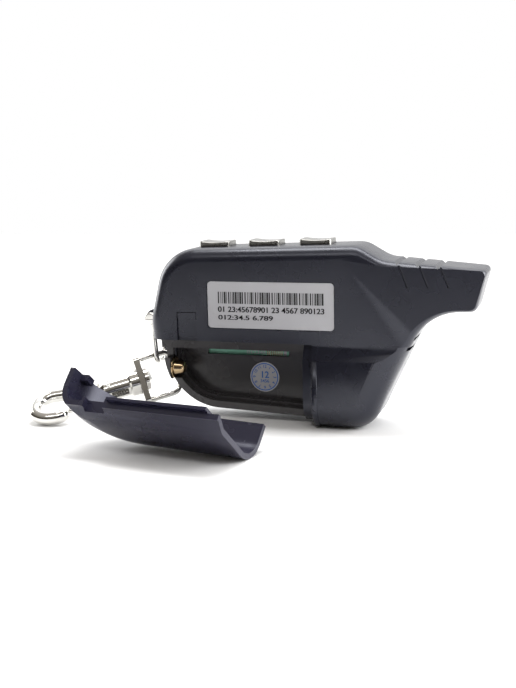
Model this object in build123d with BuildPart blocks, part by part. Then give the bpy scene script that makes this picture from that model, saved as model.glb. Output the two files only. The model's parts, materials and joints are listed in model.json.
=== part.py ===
# Car alarm remote with a display, a stub antenna, a lift-off battery cover and a key clip.
# Millimetres. X runs along the case toward the antenna, Y from the rear face to the display
# face, Z up. The pieces are drawn from the left end of the case and the plane of the rear face,
# and then moved so that the origin is where the lower edge rests, between the two halves.
import math
import os

from build123d import *

os.makedirs("parts", exist_ok=True)

# Case, whose two halves meet in a plane between the rear face and the display face
CASE_DEPTH = 18.0
PARTING = 9.5
WALL = 1.4
REAR_ROUND = 3.4
FRONT_ROUND = 4.0
SEAM_GAP = 0.2

# Reference point on the lower edge, in the plane where the halves meet
FOOT_X = 48.0

# Corner points of the case seen from the rear, as (x, z) with the radius of each corner
CASE_LEFT = 0.9
CREST = (54.5, 45.2)
TOP_LEFT = (5.2, 43.9)
ANTENNA_TIP = (84.9, 39.5)
ANTENNA_NECK = (60.5, 41.7)
CASE_CORNERS = [
    ((2.1, 1.9), 16.0),
    ((42.5, 0.0), 30.0),
    ((57.5, 0.0), 7.6),
    ((71.1, 29.1), 12.0),
    ((82.4, 29.7), 1.6),
    (ANTENNA_TIP, 1.2),
    (ANTENNA_NECK, 8.0),
    (CREST, 6.0),
    (TOP_LEFT, 11.0),
    ((CASE_LEFT, 26.0), 12.0),
    ((1.6, 20.0), 40.0),
]

# Antenna stub: its two faces run in toward the tip
RAMP_TOP = (50.4, 42.8)
RAMP_FOOT = (60.4, 22.7)
REAR_RAMP_SLOPE = 0.073
FRONT_RAMP_START = 56.0
ANTENNA_TIP_FACE = 14.2
GRIP_COUNT = 3
GRIP_FIRST = 64.1
GRIP_PITCH = 4.75
GRIP_TOP = 40.9
GRIP_FOOT = 35.4
GRIP_LEAN = 2.6
GRIP_WIDTH = 0.5
GRIP_DEPTH = 0.45
NOTCH_WIDTH = 1.5
NOTCH_DEPTH = 0.9

# Battery hump and its cover, which share one outer form
HUMP = 1.5
HUMP_TOP = 20.4
HUMP_RAMP = 3.0
HUMP_ROUND = 6.8
COVER_TOP = 21.2
COVER_END = 43.6
COVER_WALL = 1.3
COVER_GAP = 0.15
COVER_DEPTH = 9.4
LEDGE_START = 41.3
LEDGE_WALL = 1.2
LEDGE_OVERLAP = 2.2
TONGUE_HEIGHT = 1.0
TONGUE_WALL = 0.7
RIM_BAND = 2.2
CATCH_FOOT = 15.4
CATCH_HEIGHT = 2.6
CATCH_WIDTH = 2.2
CATCH_FIT = 0.3
CATCH_DEPTH = 1.6
CATCH_ROOM = 0.5
BAND_START = 8.0
TONGUE_ROOM = 1.2
SLIDE_ROOM = 0.6

# The cover lies in front of the case: it has swung about this line from its seat, and slid on it
COVER_SWING_POINT = (-4.512, -6.273, -20.982)
COVER_SWING_LINE = (0.9789, -0.088, -0.1842)
COVER_SWING_ANGLE = 49.82
COVER_SLIDE = -4.219

# Cover latch
LATCH_X = 11.4
LATCH_WIDTH = 4.9
LATCH_HEIGHT = 6.3
LATCH_THICK = 0.85
LATCH_TRAVEL = 1.8
LATCH_GAP = 0.12
LATCH_RIDGE = 1.6
LATCH_STEM = 2.0
LATCH_FOOT = 3.4
LATCH_FOOT_THICK = 0.6
LATCH_STEP = 0.3
POCKET_DEPTH = 0.95
POCKET_TOP = 28.4

# Battery cell that the bay takes
CELL_LENGTH = 44.5
CELL_DIAMETER = 10.5
CELL_X = 8.5
CELL_Y = 6.2
CELL_Z = 13.0

# Black battery frame inside the cover and the front shell
FRAME_PLAY = 0.3
FRAME_RIM = 1.75
FRAME_RIM_START = 6.2
FRAME_WALL = 0.95
FRAME_FLANGE = 0.8
FRAME_BACK_THICK = 0.75
FRAME_FIT = 0.15
END_WALL_THICK = 1.0
END_WALL_START = 2.4
END_WALL_FOOT = 6.0
CELL_FIT = 0.15
CELL_ROOM = 0.25
RAIL_FOOT = 18.7
RAIL_TOP = 20.7
RAIL_START = 3.2
VIEW_LEFT = 12.6
VIEW_RIGHT = 34.6
VIEW_FOOT = 15.7

# Contacts
CONTACT_SEAT = 5.2
CONTACT_RADIUS = 2.8
CONTACT_PLATE = 0.45
CONTACT_BOSS = 1.9
CONTACT_TAPER = 10.0
CONTACT_DOME = 1.0
LEAF_WIDTH = 6.0
LEAF_THICK = 0.3
LEAF_ROOM = 2.3
LEAF_START = 3.4
LEAF_END = 8.6
LEAF_REST = 0.7

# Circuit board and what it carries
BOARD_INSET = 3.3
BOARD_THICK = 1.0
BOARD_END = 62.0
BOARD_TONGUE_ROOT = 58.0
BOARD_TONGUE_END = 68.0
BOARD_TONGUE_FOOT = 32.0
BOARD_TONGUE_TOP = 37.0
COIL_RADIUS = 2.2
COIL_LENGTH = 17.0
COIL_START = 62.6
COIL_Z = 34.5
BUZZER_RADIUS = 4.4
BUZZER_HEIGHT = 3.6
BUZZER_X = 60.0
BUZZER_Z = 27.5
BUZZER_HOLE = 1.0
SCREW_HEAD = 1.6
SCREW_SHANK = 0.8
SCREW_HEAD_HEIGHT = 0.9
SCREW_ROOM = 0.3
BOSS_RADIUS = 2.0
BOARD_SCREWS = [(7.4, 31.0), (54.5, 36.5), (54.5, 23.0)]

# Display
WINDOW_X = 31.0
WINDOW_Z = 25.5
WINDOW_WIDTH = 37.0
WINDOW_HEIGHT = 18.0
WINDOW_CORNER = 2.0
LENS_FIT = 0.1
LENS_FLANGE = 1.2
LENS_FLANGE_THICK = 0.5
LENS_SUNK = 0.1
LCD_SIDE = 1.0
LCD_EDGE = 1.5
LCD_ROOM = 0.1
HOLDER_BORDER = 1.4
HOLDER_SHARE = 1 / 3

# Buttons in the top edge
BUTTON_CENTRES = [17.0, 30.0, 43.1]
BUTTON_NAMES = ["button_left", "button_middle", "button_right"]
BUTTON_WIDTH = 8.0
BUTTON_DEPTH = 6.6
BUTTON_PROUD = 1.4
BUTTON_FIT = 0.12
BUTTON_LIP = 0.7
BUTTON_FLANGE = 0.7
BUTTON_TRAVEL = 0.35
BUTTON_PLAY = 0.05
BUTTON_DISH = 0.35
BUTTON_CORNER = 1.0
BUTTON_EDGE = 0.3
NUB_RADIUS = 1.5
NUB_HEIGHT = 1.2
SWITCH_SIZE = 6.0
SWITCH_HEIGHT = 3.0
SWITCH_DEPTH = 4.4
SWITCH_DROP = 3.15
SWITCH_PLUNGER = 1.2
SWITCH_PLUNGER_HEIGHT = 0.5

# Stickers
LABEL_LEFT = 17.2
LABEL_FOOT = 24.7
LABEL_WIDTH = 32.0
LABEL_HEIGHT = 11.5
LABEL_THICK = 0.15
LABEL_RECESS = 0.25
LABEL_ROOM = 0.5
LABEL_CORNER = 0.9
STICKER_RADIUS = 3.9
STICKER_X = 28.0
STICKER_Z = 10.2
STICKER_THICK = 0.1

# Sounder slots in the right slope, cut from the seam
SLOT_COUNT = 2
SLOT_FIRST = 19.9
SLOT_PITCH = 2.6
SLOT_HEIGHT = 0.9
SLOT_LENGTH = 7.0

# Key pin and shackle
PIN_X = -1.8
PIN_Z = 25.2
PIN_RADIUS = 0.75
PIN_FIT = 0.05
PIN_HEAD_RADIUS = 1.6
PIN_HEAD_THICK = 0.9
PIN_SLOT = 0.4
PIN_PLAY = 0.1
PIN_PEEN_RADIUS = 1.2
PIN_PEEN_THICK = 0.7
LUG_RADIUS = 2.1
LUG_START = 10.25
LUG_WIDTH = 4.1
SIDE_GAP = 0.25
WIRE = 1.5
EYE_RADIUS = 1.55
RUNG_X = -1.0
RUNG_Z = 13.25
BEND = 2.2

# Swivel frame and hook: the hook's line and the long side of the frame's plate
SWIVEL_CENTRE = (-4.65, 6.85, 8.7)
HOOK_LINE = (-0.799, -0.563, -0.210)
PLATE_LINE = (-0.358, 0.164, 0.919)
LOOP_DEPTH = 9.8
LOOP_HALF = 5.6
LOOP_BEND = 2.6
PLATE_THICK = 1.6
PLATE_WIDTH = 5.4
PLATE_CORNER = 1.4
PLATE_LENGTH = 13.2
STUD_RADIUS = 1.0
STUD_FIT = 0.06
STUD_HEAD_RADIUS = 3.0
STUD_HEAD_THICK = 1.8
STUD_HEAD_FACE = 1.8
SWIVEL_PLAY = 0.12
COLLAR_RADIUS = 3.5
COLLAR_LENGTH = 2.2
BARREL_RADIUS = 2.9
BARREL_ROUND = 0.8
BARREL_END = 11.0
RING_CENTRE = 23.6
RING_RADIUS = 4.85
RING_WIRE = 1.7
RING_TURN = -50.0
CLAW_END = -104.0
ARM_START = 9.5
ARM_OFFSET = 1.4
GATE_END = -134.0
GATE_RADIUS = 5.2
GATE_WIRE = 0.75
GATE_PIVOT = 9.0
GATE_OFFSET = 1.3
GATE_EYE = 0.95
GATE_EYE_THICK = 1.6
GATE_SLOT = 0.1
GATE_BORE = 0.66
RIVET_RADIUS = 0.6
RIVET_REACH = 2.7
RIVET_FIT = 0.02
SPRING_RADIUS = 0.55
SPRING_WIRE = 0.25
SPRING_PITCH = 0.7
SPRING_TURNS = 5
SPRING_OFFSET = 0.55
SPRING_FIT = 0.06

# Values that follow from the sizes above
TOP_SLOPE = (CREST[1] - TOP_LEFT[1]) / (CREST[0] - TOP_LEFT[0])
FRONT_RAMP_SLOPE = (CASE_DEPTH - ANTENNA_TIP_FACE) / (ANTENNA_TIP[0] - FRONT_RAMP_START)
FRAME_INSET = COVER_WALL + FRAME_PLAY
FRAME_BACK = CELL_Y + CELL_DIAMETER / 2 + CELL_ROOM
RELIEF_TOP = PIN_Z - LUG_RADIUS - 2 * SEAM_GAP
LEDGE_INSET = COVER_WALL + COVER_GAP
LEDGE_END = COVER_END + LEDGE_OVERLAP
BACK_FACE = FRAME_BACK + FRAME_BACK_THICK
BOARD_REAR = BACK_FACE + FRAME_FIT
BOARD_FRONT = BOARD_REAR + BOARD_THICK
LENS_BACK = CASE_DEPTH - WALL - LENS_FLANGE_THICK
HOLDER_FRONT = LENS_BACK - LCD_ROOM
HOLDER_THICK = (HOLDER_FRONT - BOARD_FRONT) * HOLDER_SHARE
LCD_THICK = HOLDER_FRONT - BOARD_FRONT - HOLDER_THICK
LCD_WIDTH = WINDOW_WIDTH + 2 * LCD_SIDE
LCD_HEIGHT = WINDOW_HEIGHT + 2 * LCD_EDGE
BUTTON_Y = PARTING
LATCH_FOOT_Z = POCKET_TOP - LATCH_GAP - LATCH_HEIGHT
LATCH_MIDDLE = LATCH_FOOT_Z + LATCH_HEIGHT / 2
NEAR_EYE = LUG_START - SIDE_GAP - WIRE
FAR_EYE = LUG_START + LUG_WIDTH + SIDE_GAP
SPRING_LENGTH = SPRING_PITCH * SPRING_TURNS
RAMP_RUN = Vector(RAMP_FOOT[0] - RAMP_TOP[0], 0, RAMP_FOOT[1] - RAMP_TOP[1]).normalized()
RAMP_ACROSS = Vector(-RAMP_RUN.Z, 0, RAMP_RUN.X)
FAR = 200.0
TO_FOOT = Location((-FOOT_X, -PARTING, 0))


def rear_plane(y):
    """Plane seen from the rear at depth y: local x is X and local y is Z."""
    return Plane(origin=(0, y, 0), x_dir=(1, 0, 0), z_dir=(0, -1, 0))


def rounded_outline(corners, inset=0.0):
    """Draw a closed outline through corner points, round each corner, and draw it in by inset."""
    with BuildSketch(Plane.XY) as drawing:
        with BuildLine():
            Polyline(*[point for point, radius in corners], close=True)
        make_face()
        for point, radius in corners:
            corner = drawing.vertices().sort_by_distance((point[0], point[1], 0))[0]
            fillet(corner, radius)
        if inset > 0:
            offset(amount=-inset, mode=Mode.REPLACE)
    return drawing.sketch


def block(x, y, z, mode=Mode.ADD):
    """Box between pairs of coordinates along X, Y and Z, in the part being built."""
    with Locations(((x[0] + x[1]) / 2, (y[0] + y[1]) / 2, (z[0] + z[1]) / 2)):
        Box(x[1] - x[0], y[1] - y[0], z[1] - z[0], mode=mode)


def case_top(x):
    """Height of the top edge of the case at x, between its left corner and the crest."""
    return TOP_LEFT[1] + TOP_SLOPE * (x - TOP_LEFT[0])


def antenna_top(x):
    """Height of the top of the antenna stub at x."""
    slope = (ANTENNA_TIP[1] - ANTENNA_NECK[1]) / (ANTENNA_TIP[0] - ANTENNA_NECK[0])
    return ANTENNA_NECK[1] + slope * (x - ANTENNA_NECK[0])


def rear_ramp(inset):
    """Wedge off the rear face, from the slanted line by the label out to the antenna's tip."""
    start = Vector(RAMP_TOP[0], inset, RAMP_TOP[1])
    with BuildPart() as wedge:
        with BuildSketch(Plane(origin=start, x_dir=RAMP_ACROSS, z_dir=RAMP_RUN)):
            with BuildLine():
                Polyline((0, 0), (FAR, -FAR * REAR_RAMP_SLOPE), (FAR, FAR), (0, FAR), close=True)
            make_face()
        extrude(amount=FAR, both=True)
    return wedge.part


def rear_form(inset=0.0):
    """Rear half of the case as a solid, drawn in by inset."""
    with BuildPart() as form:
        with BuildSketch(rear_plane(PARTING)):
            add(rounded_outline(CASE_CORNERS, inset))
        extrude(amount=PARTING - inset)
        fillet(form.faces().sort_by(Axis.Y)[0].edges(), REAR_ROUND - inset)
        add(rear_ramp(inset), mode=Mode.SUBTRACT)
    return form.part


def cover_form(inset=0.0, foot=PARTING):
    """Outer form that the battery cover and the fixed housing share, drawn in by inset."""
    with BuildPart() as form:
        with BuildSketch(rear_plane(foot)):
            add(rounded_outline(CASE_CORNERS, inset))
            with Locations((0, COVER_TOP)):
                Rectangle(FAR, FAR, align=(Align.CENTER, Align.MAX), mode=Mode.INTERSECT)
        extrude(amount=foot + HUMP - inset)
        rear_edges = form.faces().sort_by(Axis.Y)[0].edges()
        fillet(rear_edges - rear_edges.sort_by(Axis.Z)[-1:], HUMP_ROUND - inset)
        with BuildSketch(Plane.YZ):
            with BuildLine():
                Polyline(
                    (inset, HUMP_TOP),
                    (inset - HUMP, HUMP_TOP - HUMP_RAMP),
                    (-FAR, HUMP_TOP - HUMP_RAMP),
                    (-FAR, FAR),
                    (inset, FAR),
                    close=True,
                )
            make_face()
        extrude(amount=FAR, both=True, mode=Mode.SUBTRACT)
    return form.part


def front_form(inset=0.0):
    """Display half of the case as a solid, drawn in by inset, cut back under the key lug."""
    with BuildPart() as form:
        with BuildSketch(rear_plane(CASE_DEPTH - inset)):
            add(rounded_outline(CASE_CORNERS, inset))
        extrude(amount=CASE_DEPTH - inset - PARTING)
        fillet(form.faces().sort_by(Axis.Y)[-1].edges(), FRONT_ROUND - inset)
        with BuildSketch(Plane.XY):
            with BuildLine():
                Polyline(
                    (FRONT_RAMP_START, CASE_DEPTH - inset),
                    (FRONT_RAMP_START + FAR, CASE_DEPTH - inset - FAR * FRONT_RAMP_SLOPE),
                    (FRONT_RAMP_START + FAR, FAR),
                    (FRONT_RAMP_START, FAR),
                    close=True,
                )
            make_face()
        extrude(amount=FAR, both=True, mode=Mode.SUBTRACT)
        with BuildSketch(rear_plane(CASE_DEPTH + 1)):
            with Locations((COVER_END + SEAM_GAP, RELIEF_TOP + inset)):
                Rectangle(FAR, FAR, align=(Align.MAX, Align.MAX))
            add(rounded_outline(CASE_CORNERS, FRAME_INSET + inset), mode=Mode.SUBTRACT)
        extrude(amount=CASE_DEPTH + 2, mode=Mode.SUBTRACT)
    return form.part


def button_openings():
    """Prisms through the top edge of both shells, one for each button."""
    with BuildPart() as prisms:
        for x in BUTTON_CENTRES:
            with BuildSketch(Plane.XY.offset(case_top(x) - WALL - 1.0)):
                with Locations((x, BUTTON_Y)):
                    RectangleRounded(
                        BUTTON_WIDTH + 2 * BUTTON_FIT,
                        BUTTON_DEPTH + 2 * BUTTON_FIT,
                        BUTTON_CORNER + BUTTON_FIT,
                    )
            extrude(amount=WALL + 4.0)
    return prisms.part


def grip_notches():
    """Wedges that cut the notches across the top of the antenna stub."""
    with BuildPart() as wedges:
        for number in range(GRIP_COUNT):
            x = GRIP_FIRST + number * GRIP_PITCH
            z = antenna_top(x)
            with BuildSketch(rear_plane(CASE_DEPTH + 1)):
                with BuildLine():
                    Polyline(
                        (x - NOTCH_WIDTH, z + NOTCH_DEPTH),
                        (x, z - NOTCH_DEPTH),
                        (x + NOTCH_WIDTH, z + NOTCH_DEPTH),
                        close=True,
                    )
                make_face()
            extrude(amount=CASE_DEPTH + 4)
    return wedges.part


def keep_left_of(x):
    """Cut off what lies beyond x in the part being built."""
    block((x, x + FAR), (-FAR / 2, FAR / 2), (-FAR / 2, FAR / 2), mode=Mode.SUBTRACT)


def keep_right_of(x):
    """Cut off what lies before x in the part being built."""
    block((x - FAR, x), (-FAR / 2, FAR / 2), (-FAR / 2, FAR / 2), mode=Mode.SUBTRACT)


# Hollows of the rear shell: behind the label face, behind the housing and under the ledge
with BuildPart() as label_hollow:
    add(rear_form(WALL))
    block((-FAR, LEDGE_END), (-FAR, FAR), (-FAR, COVER_TOP), mode=Mode.SUBTRACT)

with BuildPart() as housing_hollow:
    add(cover_form(WALL))
    keep_right_of(LEDGE_END)

with BuildPart() as ledge_hollow:
    add(cover_form(LEDGE_INSET + LEDGE_WALL))
    keep_right_of(LEDGE_START - 1)
    keep_left_of(LEDGE_END)

# What the cover takes up at the housing, outside the ledge that it laps over
with BuildPart() as lap_space:
    block((LEDGE_START, COVER_END + COVER_GAP), (-FAR, FAR), (-FAR, COVER_TOP))
    add(cover_form(LEDGE_INSET), mode=Mode.SUBTRACT)

# Rear shell: label face, fixed battery housing and the rear half of the antenna stub
with BuildPart() as rear_shell:
    add(rear_form())
    block((-FAR, FAR), (-FAR, FAR), (-FAR, COVER_TOP), mode=Mode.SUBTRACT)
    add(cover_form())
    block((-FAR, LEDGE_START), (-FAR, FAR), (-FAR, COVER_TOP), mode=Mode.SUBTRACT)
    add(lap_space.part, mode=Mode.SUBTRACT)
    add(label_hollow.part, mode=Mode.SUBTRACT)
    add(housing_hollow.part, mode=Mode.SUBTRACT)
    add(ledge_hollow.part, mode=Mode.SUBTRACT)
    with BuildSketch(rear_plane(LABEL_RECESS)):
        with Locations((LABEL_LEFT + LABEL_WIDTH / 2, LABEL_FOOT + LABEL_HEIGHT / 2)):
            RectangleRounded(LABEL_WIDTH + LABEL_ROOM, LABEL_HEIGHT + LABEL_ROOM, LABEL_CORNER)
    extrude(amount=5, mode=Mode.SUBTRACT)
    pocket_half = LATCH_WIDTH / 2 + LATCH_GAP
    block(
        (LATCH_X - pocket_half, LATCH_X + pocket_half),
        (-1, POCKET_DEPTH),
        (COVER_TOP - 1, POCKET_TOP),
        mode=Mode.SUBTRACT,
    )
    slot_half = LATCH_STEM / 2 + LATCH_GAP
    block(
        (LATCH_X - slot_half, LATCH_X + slot_half),
        (0, WALL + 1),
        (LATCH_MIDDLE - slot_half - LATCH_TRAVEL, LATCH_MIDDLE + slot_half),
        mode=Mode.SUBTRACT,
    )
    for number in range(GRIP_COUNT):
        x = GRIP_FIRST + number * GRIP_PITCH
        foot = Vector(x + GRIP_LEAN - RAMP_TOP[0], 0, GRIP_FOOT - RAMP_TOP[1])
        with BuildSketch(rear_plane(foot.dot(RAMP_ACROSS) * REAR_RAMP_SLOPE + GRIP_DEPTH)):
            with BuildLine():
                Line((x, GRIP_TOP + 1), (x + GRIP_LEAN, GRIP_FOOT))
            trace(line_width=GRIP_WIDTH)
        extrude(amount=10, mode=Mode.SUBTRACT)
    for number in range(SLOT_COUNT):
        z = SLOT_FIRST + number * SLOT_PITCH
        block((BUZZER_X, FAR), (PARTING - SLOT_LENGTH, FAR), (z, z + SLOT_HEIGHT), mode=Mode.SUBTRACT)
    add(grip_notches(), mode=Mode.SUBTRACT)
    add(button_openings(), mode=Mode.SUBTRACT)
rear_shell.part = rear_shell.part.moved(TO_FOOT)
rear_shell.part.label = "rear_shell"
export_step(rear_shell.part, "parts/rear_shell.step")

# Front shell: display face with its window, key lug and screw bosses
with BuildPart() as front_shell:
    add(front_form())
    add(front_form(WALL), mode=Mode.SUBTRACT)
    with BuildSketch(rear_plane(CASE_DEPTH + 1)):
        with Locations((WINDOW_X, WINDOW_Z)):
            RectangleRounded(WINDOW_WIDTH, WINDOW_HEIGHT, WINDOW_CORNER)
    extrude(amount=WALL + 2, mode=Mode.SUBTRACT)
    with BuildSketch(rear_plane(CASE_DEPTH - WALL / 2)):
        with Locations(*BOARD_SCREWS):
            Circle(BOSS_RADIUS)
    extrude(amount=CASE_DEPTH - WALL / 2 - BOARD_FRONT)
    with BuildSketch(rear_plane(CASE_DEPTH - WALL)):
        with Locations(*BOARD_SCREWS):
            Circle(SCREW_SHANK + PIN_FIT)
    extrude(amount=CASE_DEPTH - WALL - BOARD_FRONT, mode=Mode.SUBTRACT)
    with BuildSketch(rear_plane(LUG_START + LUG_WIDTH)):
        with Locations((PIN_X, PIN_Z)):
            Circle(LUG_RADIUS)
        with Locations((PIN_X, PIN_Z)):
            Rectangle(CASE_LEFT + WALL - PIN_X, 2 * LUG_RADIUS, align=(Align.MIN, Align.CENTER))
    extrude(amount=LUG_WIDTH)
    with BuildSketch(rear_plane(CASE_DEPTH)):
        with Locations((PIN_X, PIN_Z)):
            Circle(PIN_RADIUS + PIN_FIT)
    extrude(amount=CASE_DEPTH, mode=Mode.SUBTRACT)
    add(grip_notches(), mode=Mode.SUBTRACT)
    add(button_openings(), mode=Mode.SUBTRACT)
front_shell.part = front_shell.part.moved(TO_FOOT)
front_shell.part.label = "front_shell"
export_step(front_shell.part, "parts/front_shell.step")

# Battery cover, made on its seat and then laid in front of the case
with BuildPart() as seated_cover:
    add(cover_form(foot=COVER_DEPTH))
    add(cover_form(COVER_WALL, foot=COVER_DEPTH + 1), mode=Mode.SUBTRACT)
    keep_left_of(COVER_END)
    block((-FAR, FAR), (-FAR, FAR), (COVER_TOP - COVER_GAP, FAR), mode=Mode.SUBTRACT)
    # Band behind the rim, with the tongue that goes in behind the rear shell
    rim_back = WALL + COVER_GAP + TONGUE_WALL
    band_end = LEDGE_START - SLIDE_ROOM
    block((BAND_START, band_end), (WALL / 2, rim_back), (COVER_TOP - RIM_BAND, COVER_TOP - COVER_GAP))
    block(
        (LATCH_X + LATCH_WIDTH / 2 + TONGUE_ROOM, band_end),
        (WALL + COVER_GAP, rim_back),
        (COVER_TOP - RIM_BAND, COVER_TOP + TONGUE_HEIGHT),
    )
    # Notch that the latch slides into
    notch_half = LATCH_WIDTH / 2 + 2 * LATCH_GAP
    block(
        (LATCH_X - notch_half, LATCH_X + notch_half),
        (-FAR, 2 * WALL),
        (COVER_TOP - LATCH_TRAVEL - LATCH_GAP, FAR),
        mode=Mode.SUBTRACT,
    )
    # Catch on the front edge of the end wall
    catch_start = CASE_LEFT + COVER_WALL + CATCH_ROOM
    block(
        (catch_start, catch_start + CATCH_WIDTH),
        (COVER_DEPTH - CATCH_DEPTH, COVER_DEPTH),
        (CATCH_FOOT, CATCH_FOOT + CATCH_HEIGHT),
    )

with BuildPart() as battery_cover:
    swung = seated_cover.part.rotate(Axis(COVER_SWING_POINT, COVER_SWING_LINE), COVER_SWING_ANGLE)
    add(swung.moved(Location(Vector(*COVER_SWING_LINE) * COVER_SLIDE)))
battery_cover.part = battery_cover.part.moved(TO_FOOT)
battery_cover.part.label = "battery_cover"
export_step(battery_cover.part, "parts/battery_cover.step")

# Cover latch: a slide in its pocket with a finger ridge and a foot behind the wall
with BuildPart() as cover_latch:
    block(
        (LATCH_X - LATCH_WIDTH / 2, LATCH_X + LATCH_WIDTH / 2),
        (POCKET_DEPTH - LATCH_THICK, POCKET_DEPTH - PIN_FIT),
        (LATCH_FOOT_Z, LATCH_FOOT_Z + LATCH_HEIGHT),
    )
    block(
        (-FAR, FAR),
        (-FAR, POCKET_DEPTH - LATCH_THICK + LATCH_STEP),
        (-FAR, LATCH_FOOT_Z + LATCH_HEIGHT - LATCH_RIDGE),
        mode=Mode.SUBTRACT,
    )
    block(
        (LATCH_X - LATCH_STEM / 2, LATCH_X + LATCH_STEM / 2),
        (POCKET_DEPTH - LATCH_STEP, WALL + LATCH_STEP),
        (LATCH_MIDDLE - LATCH_STEM / 2, LATCH_MIDDLE + LATCH_STEM / 2),
    )
    block(
        (LATCH_X - LATCH_FOOT / 2, LATCH_X + LATCH_FOOT / 2),
        (WALL + PIN_FIT, WALL + PIN_FIT + LATCH_FOOT_THICK),
        (LATCH_MIDDLE - LATCH_STEM / 2, LATCH_MIDDLE + LATCH_STEM / 2),
    )
cover_latch.part = cover_latch.part.moved(TO_FOOT)
cover_latch.part.label = "cover_latch"
export_step(cover_latch.part, "parts/cover_latch.step")

# Battery frame: rim inside the cover, back wall behind the cell, rail above it
frame_right = CELL_X + CELL_LENGTH + LEAF_ROOM + END_WALL_THICK
tube_inset = FRAME_INSET + WALL + FRAME_FIT
with BuildPart() as contact_pad:
    block(
        (0, CONTACT_SEAT),
        (CELL_Y - CONTACT_RADIUS, PARTING),
        (CELL_Z - CONTACT_RADIUS, CELL_Z + CONTACT_RADIUS),
    )
    add(cover_form(FRAME_INSET), mode=Mode.INTERSECT)

with BuildPart() as battery_frame:
    with BuildSketch(rear_plane(PARTING)):
        add(rounded_outline(CASE_CORNERS, FRAME_INSET))
        add(rounded_outline(CASE_CORNERS, FRAME_INSET + FRAME_RIM), mode=Mode.SUBTRACT)
        with Locations((LEDGE_START - SEAM_GAP, RAIL_TOP)):
            Rectangle(FAR, FAR, align=(Align.MAX, Align.MAX), mode=Mode.INTERSECT)
    extrude(amount=PARTING - FRAME_RIM_START)
    with BuildSketch(rear_plane(PARTING)):
        add(rounded_outline(CASE_CORNERS, FRAME_INSET))
        add(rounded_outline(CASE_CORNERS, tube_inset + FRAME_WALL), mode=Mode.SUBTRACT)
        with Locations((LEDGE_START - SEAM_GAP, RAIL_TOP)):
            Rectangle(FAR, FAR, align=(Align.MAX, Align.MAX), mode=Mode.INTERSECT)
    extrude(amount=FRAME_FLANGE)
    with BuildSketch(rear_plane(BACK_FACE)):
        add(rounded_outline(CASE_CORNERS, tube_inset))
        add(rounded_outline(CASE_CORNERS, tube_inset + FRAME_WALL), mode=Mode.SUBTRACT)
        with Locations((frame_right, RAIL_TOP)):
            Rectangle(FAR, FAR, align=(Align.MAX, Align.MAX), mode=Mode.INTERSECT)
    extrude(amount=BACK_FACE - PARTING + FRAME_FLANGE)
    with BuildSketch(rear_plane(BACK_FACE)):
        add(rounded_outline(CASE_CORNERS, tube_inset))
        with Locations((frame_right, RAIL_TOP)):
            Rectangle(FAR, FAR, align=(Align.MAX, Align.MAX), mode=Mode.INTERSECT)
    extrude(amount=FRAME_BACK_THICK)
    for depth, inset in ((PARTING, FRAME_INSET), (BACK_FACE, tube_inset)):
        with BuildSketch(rear_plane(depth)):
            add(rounded_outline(CASE_CORNERS, inset))
            with Locations((frame_right, RAIL_TOP)):
                Rectangle(
                    FAR, RAIL_TOP - RAIL_FOOT, align=(Align.MAX, Align.MAX), mode=Mode.INTERSECT
                )
        extrude(amount=depth - RAIL_START)
    # End wall behind the leaf, and pad with a seat for the positive contact
    block(
        (frame_right - END_WALL_THICK, frame_right),
        (END_WALL_START, BACK_FACE),
        (END_WALL_FOOT, RAIL_TOP - 1),
    )
    add(contact_pad.part)
    with BuildSketch(Plane.YZ.offset(CONTACT_SEAT)):
        with Locations((CELL_Y, CELL_Z)):
            Circle(CONTACT_RADIUS + PIN_FIT)
    extrude(amount=CELL_X - CONTACT_SEAT, mode=Mode.SUBTRACT)
    # Window onto the board, and the slot that takes the catch of the cover
    block((VIEW_LEFT, VIEW_RIGHT), (FRAME_BACK - 1, FAR), (VIEW_FOOT, RAIL_FOOT), mode=Mode.SUBTRACT)
    block(
        (-FAR, catch_start + CATCH_WIDTH + CATCH_FIT),
        (COVER_DEPTH - CATCH_DEPTH - CATCH_FIT, PARTING),
        (CATCH_FOOT - CATCH_FIT, CATCH_FOOT + CATCH_HEIGHT + CATCH_FIT),
        mode=Mode.SUBTRACT,
    )
battery_frame.part = battery_frame.part.moved(TO_FOOT)
battery_frame.part.label = "battery_frame"
export_step(battery_frame.part, "parts/battery_frame.step")

# Positive contact: a plate with a raised boss
with BuildPart() as positive_contact:
    with BuildSketch(Plane.YZ.offset(CONTACT_SEAT)):
        with Locations((CELL_Y, CELL_Z)):
            Circle(CONTACT_RADIUS)
    extrude(amount=CONTACT_PLATE)
    with BuildSketch(Plane.YZ.offset(CONTACT_SEAT + CONTACT_PLATE)):
        with Locations((CELL_Y, CELL_Z)):
            Circle(CONTACT_BOSS)
    extrude(amount=CELL_X - CELL_FIT - CONTACT_SEAT - CONTACT_PLATE, taper=CONTACT_TAPER)
    fillet(positive_contact.edges().sort_by(Axis.X)[-1], CONTACT_DOME)
positive_contact.part = positive_contact.part.moved(TO_FOOT)
positive_contact.part.label = "positive_contact"
export_step(positive_contact.part, "parts/positive_contact.step")

# Negative contact: a bowed leaf on the right end wall
leaf_face = frame_right - END_WALL_THICK - LEAF_THICK / 2
with BuildPart() as negative_contact:
    with BuildSketch(Plane.XY.offset(CELL_Z - LEAF_WIDTH / 2)):
        with BuildLine():
            root = Line((leaf_face, PARTING), (leaf_face, LEAF_START))
            ThreePointArc(
                root @ 1,
                (leaf_face - LEAF_ROOM + LEAF_THICK + CELL_FIT, CELL_Y),
                (leaf_face - LEAF_REST, LEAF_END),
            )
        trace(line_width=LEAF_THICK)
    extrude(amount=LEAF_WIDTH)
negative_contact.part = negative_contact.part.moved(TO_FOOT)
negative_contact.part.label = "negative_contact"
export_step(negative_contact.part, "parts/negative_contact.step")

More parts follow.
